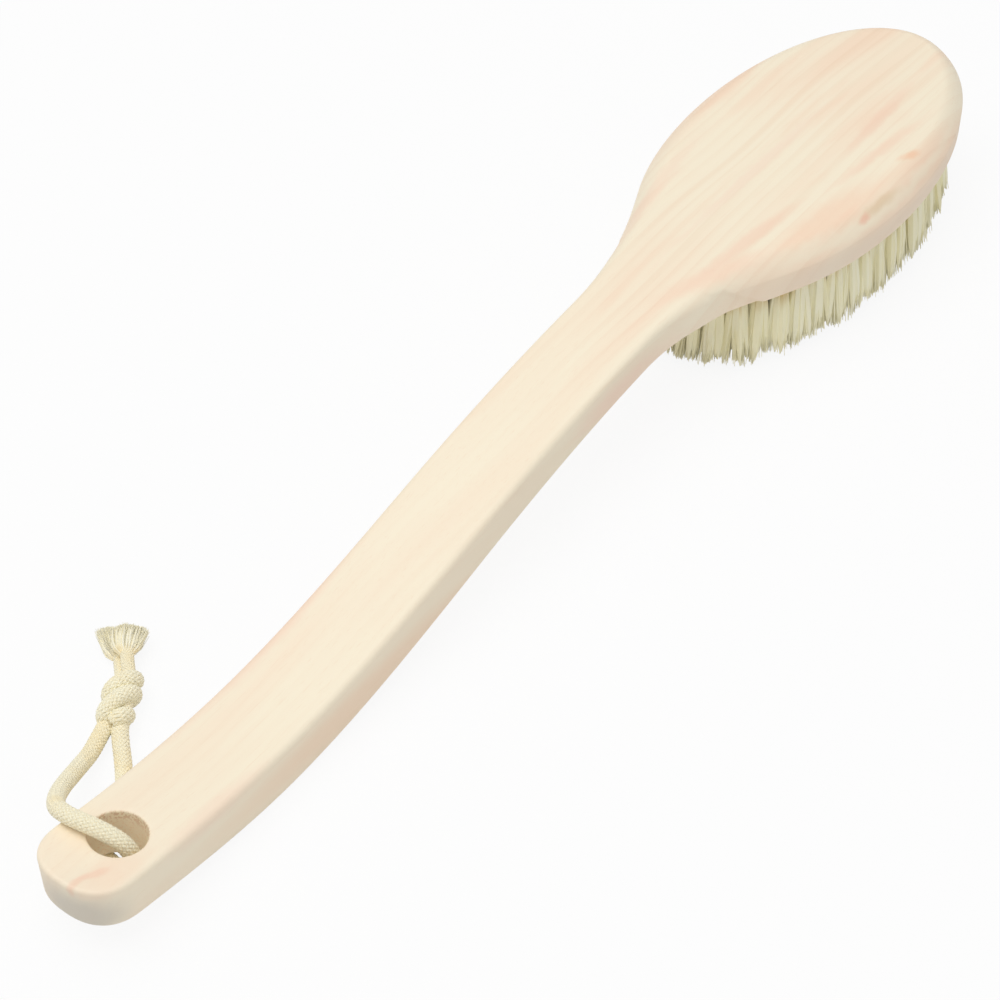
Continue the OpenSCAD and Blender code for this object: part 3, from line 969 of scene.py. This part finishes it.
def grainGroup():
    tree, given, result = newGroup("wood grain", "ShaderNodeTree", [
        ("Pale colour", "Color"), ("Line colour", "Color"), ("Warm colour", "Color"),
        ("Line spacing", "Float", 2.6), ("Line strength", "Float", 0.5),
        ("Figure starts", "Float", -0.02), ("Figure full", "Float", 0.07),
        ("Plain share", "Float", 0.35),
    ], [("Colour", "Color"), ("Height", "Float"), ("Roughness", "Float")])
    along, across, height = split(tree, objectPlace(tree))
    # The handle is plain, the head is more figured
    figure = remap(tree, along, given["Figure starts"], given["Figure full"], given["Plain share"], 1.0)
    # Growth lines run along the brush and drift slowly sideways
    drift = noise(tree, combined(tree, along * 9.0, across * 14.0, height * 14.0), detail=1)
    sideways = across + height * 0.3 + (drift - 0.5) * 0.012
    lineAt = sideways * 1000.0 / given["Line spacing"]
    unevenness = noise(tree, combined(tree, along * 3.0, lineAt * 0.45, 0.0), detail=2)
    lines = calc(tree, "FRACT", lineAt + unevenness * 2.2)
    # Each line darkens slowly and ends sharply
    dark = remap(tree, lines, 0.3, 0.9) * remap(tree, lines, 1.0, 0.9)
    bands = noise(tree, combined(tree, along * 6.0, sideways * 62.0, 7.0), detail=2)
    fibres = noise(tree, combined(tree, along * 70.0, across * 2600.0, height * 2600.0), detail=3)
    blotches = noise(tree, combined(tree, along * 26.0, sideways * 150.0, 3.0), detail=2)
    warmth = remap(tree, bands, 0.42, 0.64, 0.0, 0.6) + remap(tree, blotches, 0.52, 0.7, 0.0, 0.25)
    warm = mixColour(tree, warmth * figure, given["Pale colour"], given["Warm colour"])
    clear = remap(tree, unevenness * 0.5 + bands * 0.5, 0.4, 0.62, 0.3, 1.0)
    strength = figure * given["Line strength"]
    lined = mixColour(tree, dark * clear * strength, warm, given["Line colour"])
    flecks = remap(tree, fibres, 0.55, 0.8, 0.0, 0.22)
    feed(result["Colour"], mixColour(tree, flecks, lined, given["Line colour"]))
    feed(result["Height"], fibres * 0.7 + dark * 0.3)
    feed(result["Roughness"], remap(tree, fibres, 0.3, 0.7, 0.5, 0.62))
    return tree


# Soft-edged patch of another colour, as round a small branch, or a patch of painted highlight or shade
def stainOrPaintedLightGroup():
    tree, given, result = newGroup("stainOrPaintedLight", "ShaderNodeTree", [
        ("Middle", "Vector"), ("Size", "Vector"), ("Turn", "Float", 0.0),
    ], [("Mask", "Float")])
    place = objectPlace(tree)
    cloud = addNode(tree, "ShaderNodeTexNoise", {"Vector": place, "Scale": 220.0}).outputs["Color"]
    rough = scaled(tree, calcVector(tree, "SUBTRACT", cloud, (0.5, 0.5, 0.5)), 0.002)
    away = calcVector(tree, "SUBTRACT", calcVector(tree, "ADD", place, rough), given["Middle"])
    level = addNode(tree, "ShaderNodeVectorRotate", {"Vector": away, "Angle": given["Turn"]},
                    rotation_type="Z_AXIS").outputs[0]
    reach = calcVector(tree, "LENGTH", calcVector(tree, "DIVIDE", level, given["Size"]))
    feed(result["Mask"], remap(tree, reach, 1.0, 0.25))
    return tree


wood = {
    "pale": (254, 242, 217),
    "line": (240, 206, 174),
    "warm": (254, 221, 194),
    "spacing": 3.6,  # millimetres between growth lines
    "lineStrength": 0.24,
    "holeWall": (255, 240, 212),
    "pit": (244, 200, 152),  # open pores of the end grain in the hole
    "rimPit": (208, 160, 120),
    # Stains, and patches of painted highlight and shade: middle from the handle end, size, turn in
    # degrees, colour, strength
    "stainsAndPaintedLight": [
        ((284, -25, 40.4), (34, 8, 2.4), 8, (254, 215, 186), 0.55),  # salmon figure, near side of head
        ((264, -12.5, 40), (30, 3.2, 5), 6, (252, 210, 184), 0.5),
        ((246, -13, 38), (28, 5, 7), 20, (254, 214, 188), 0.55),
        ((332, -13, 40.4), (28, 3, 2.6), -3, (252, 213, 188), 0.5),
        ((318, -21, 40.4), (30, 2.6, 2.4), 6, (252, 212, 186), 0.45),
        ((258, 20, 40), (46, 3.4, 6), -8, (252, 218, 194), 0.4),
        ((290, 3, 40), (50, 2.6, 6), 0, (252, 218, 196), 0.35),
        ((302, -30, 37), (66, 14, 2.2), 0, (254, 243, 218), 0.65),  # painted highlight round the edge, painted shade on the side below
        ((302, -32, 29.5), (80, 16, 7), 0, (240, 226, 206), 0.5),
        ((301, -32.6, 38.2), (12, 2.2, 2.4), 5, (230, 202, 162), 0.55),  # tan band with its pink end
        ((293, -32.4, 38), (3.6, 1.8, 2), 0, (248, 192, 164), 0.6),
        ((322.8, -28.8, 39.5), (5.6, 2.2, 2), 20, (250, 200, 162), 0.65),  # orange streak
        ((110, 12.6, 16), (95, 4.6, 9), 0, (252, 213, 190), 0.55),  # far and near edge of the handle
        ((208, -14, 29), (34, 4.5, 8), 4, (252, 212, 192), 0.5),
        ((42, -12, 18), (26, 4, 6), 0, (252, 212, 190), 0.3),
        ((0, -5, 13.6), (15, 18, 11), 0, (208, 201, 188), 0.75),  # end grain of the handle end, also painted greyer and darker as shade on the end face
        ((110, -13, 8), (100, 3, 9), 0, (250, 210, 178), 0.35),  # warmer near side
        ((15, -7, 22.5), (24, 8, 4), 0, (252, 222, 196), 0.5),
        ((2.2, -3.9, 22.4), (4.6, 1.5, 3), 0, (248, 203, 176), 0.5),  # curved streak
        ((7.4, -5.0, 22.3), (5.4, 1.6, 3), 22, (248, 203, 176), 0.45),
    ],
}


def woodMaterial():
    material, tree, shader = newMaterial("sanded cypress", roughness=0.55)
    grain = useGroup(tree, grainGroup(), {
        "Pale colour": colour(*wood["pale"]), "Line colour": colour(*wood["line"]),
        "Warm colour": colour(*wood["warm"]), "Line spacing": wood["spacing"],
        "Line strength": wood["lineStrength"]})
    shade = grain["Colour"]
    # Real stains and figure, and patches of painted highlight and shade, laid over the grain
    stainOrPaintedLight = stainOrPaintedLightGroup()
    for middle, size, turn, tint, strength in wood["stainsAndPaintedLight"]:
        centre = Vector(fromHandleEnd([middle])[0]) * mm
        patch = {"Middle": centre, "Size": Vector(size) * mm, "Turn": math.radians(turn)}
        shade = mixColour(tree, useGroup(tree, stainOrPaintedLight, patch)["Mask"] * strength, shade, colour(*tint))
    # End grain on the wall of the hanging hole, measured from the hole's own leaning axis
    place = objectPlace(tree)
    along, across, height = split(tree, place)
    holeTop = topZ(body["holePlace"])
    slope = topZ(body["holePlace"] + 1) - holeTop
    ahead = along - (body["holePlace"] * mm + woodLow.x)
    above = height - holeTop * mm
    reach = calcVector(tree, "LENGTH", combined(tree, ahead + above * slope, across, 0.0))
    pores = noise(tree, place, scale=1500, detail=3)
    radius = body["holeWidth"] / 2 * mm
    wallEdge = reach + (pores - 0.5) * 0.0012
    inside = remap(tree, wallEdge, radius + 0.0006, radius + 0.0001, 0.0, 0.9)
    wall, pit, rimPit = (colour(*wood[key]) for key in ("holeWall", "pit", "rimPit"))
    pitted = mixColour(tree, remap(tree, pores, 0.52, 0.68, 0.0, 0.5), wall, pit)
    # Torn grain just under the upper rim
    torn = remap(tree, above - ahead * slope, -0.0048, -0.001) * remap(tree, pores, 0.46, 0.6)
    pitted = mixColour(tree, torn * 0.6, pitted, rimPit)
    feed(shader.inputs["Base Color"], mixColour(tree, inside, shade, pitted))
    feed(shader.inputs["Roughness"], grain["Roughness"])
    addBump(tree, shader, grain["Height"] + inside * (pores * 4.0), 0.00005, 0.35)
    return material


carvedBody = carveBody(woodMaterial())
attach(carvedBody, "root")
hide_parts("wooden_body")
print("body carved", len(carvedBody.data.polygons))

bristles = {
    "Hairs per point": 170,
    "Length": 0.026,
    "Length spread": 0.07,
    "Root radius": 0.0014,
    "Tip radius": 0.0042,
    "Thickness": 0.0003,
    "Clumps": 3,
    "Clump strength": 0.36,
    "Stray": 0.0024,
    "Flatness": 1.0,
    "Flare": 0.25,
    "Pointed": 0.12,
    "Dome": 0.0,
    "Locks per point": 26,
    "Lock width": 0.0029,
    "Seed": 3,
}
# Outward lean of the outer tips, in metres: towards the head's tip, the neck and the sides
splay = {"tip": 0.0046, "neck": 0.0028, "side": 0.0018}
bristleColours = (colour(251, 245, 208), colour(208, 180, 112), colour(252, 248, 219))  # tip, root with painted shade in the gaps between tufts, pale


def growBristles():
    material = hairMaterial("natural bristle", *bristleColours, roughness=0.55)
    rootHeight = headBottom * mm + 0.0004  # just inside the holes
    number = 0
    for node, places in tuftNodes.items():
        points = []
        for x, y in places:
            # Tufts lean outwards more the nearer they stand to the head's edge
            across = Vector((x - (headMiddle * mm + woodLow.x), y, 0))
            share = math.hypot(across.x / (headA * mm), across.y / (headB * mm))
            away = Vector((across.x / headA**2, across.y / headB**2, 0)).normalized()
            ahead = splay["tip"] if away.x > 0 else splay["neck"]
            lean = Vector((away.x * ahead, away.y * splay["side"], 0)) * share**3
            points.append((Vector((x, y, rootHeight)), Vector((0, 0, -1)), lean, number))
            number += 1
        piece = growHairs(node.replace("tufts", "bristles"), points, material, bristles)
        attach(piece, "root")
        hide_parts(node)


growBristles()
print("bristles grown")


def anchorMaterial():
    material, tree, shader = newMaterial("drawn aluminium", roughness=0.4, Metallic=1.0)
    stretch = {"Vector": objectPlace(tree), "Scale": (9000, 600, 9000)}
    drawn = noise(tree, addNode(tree, "ShaderNodeMapping", stretch).outputs[0], detail=2)
    shade = mixColour(tree, remap(tree, drawn, 0.3, 0.7), colour(196, 196, 193), colour(226, 226, 224))
    feed(shader.inputs["Base Color"], shade)
    feed(shader.inputs["Roughness"], remap(tree, drawn, 0.2, 0.8, 0.3, 0.5))
    addBump(tree, shader, drawn, 0.00001, 0.4)
    return material


metal = anchorMaterial()
for name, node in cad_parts.items():
    if name.startswith("anchors_"):
        node.data.materials.clear()
        node.data.materials.append(metal)
print("anchors finished")


studio = {
    "world": 0.46,
    "key": 13.2,
    "keyPlace": (-0.25, 0.2, 1.45),
    "keySize": 1.4,
    "fill": 1.1,
    "fillPlace": (0.1, -1.3, 0.5),
    "fillSize": 1.2,
    "floorSize": 12.0,
    "floor": 0.88,
    "shadow": 0.1,  # how much of the floor's own shading the camera sees
}


def addLight(name, power, place, size):
    light = bpy.data.lights.new(name, "AREA")
    light.energy = power
    light.size = size
    lamp = bpy.data.objects.new(name, light)
    lamp.location = place
    lamp.rotation_euler = (-Vector(place)).to_track_quat("-Z", "Y").to_euler()
    bpy.context.scene.collection.objects.link(lamp)


def makeStudio():
    world = bpy.data.worlds.new("studio")
    world.use_nodes = True
    world.node_tree.nodes["Background"].inputs["Color"].default_value = (1, 1, 1, 1)
    world.node_tree.nodes["Background"].inputs["Strength"].default_value = studio["world"]
    bpy.context.scene.world = world
    addLight("key", studio["key"], studio["keyPlace"], studio["keySize"])
    addLight("fill", studio["fill"], studio["fillPlace"], studio["fillSize"])
    half = studio["floorSize"] / 2
    corners = [(-half, -half, 0), (half, -half, 0), (half, half, 0), (-half, half, 0)]
    mesh = bpy.data.meshes.new("floor")
    mesh.from_pydata(corners, [], [(0, 1, 2, 3)])
    grey = (studio["floor"], studio["floor"], studio["floor"], 1)
    material, tree, shader = newMaterial("pale floor", roughness=0.9, Base_Color=grey)
    # The camera, mirrors and glass see the floor as white, with a soft shadow left on it
    ray = addNode(tree, "ShaderNodeLightPath").outputs
    reflected = calc(tree, "MAXIMUM", ray["Is Glossy Ray"], ray["Is Transmission Ray"])
    seen = calc(tree, "MAXIMUM", ray["Is Camera Ray"], reflected)
    white = addNode(tree, "ShaderNodeEmission", {"Color": (1, 1, 1, 1), "Strength": 1.0}).outputs[0]
    mixed = addNode(tree, "ShaderNodeMixShader", {
        0: seen * (1 - studio["shadow"]), 1: shader.outputs[0], 2: white})
    feed(tree.nodes["Material Output"].inputs["Surface"], mixed.outputs[0])
    addObject("floor", mesh, material)


makeStudio()
bpy.context.scene.view_settings.view_transform = "Standard"
print("studio set")
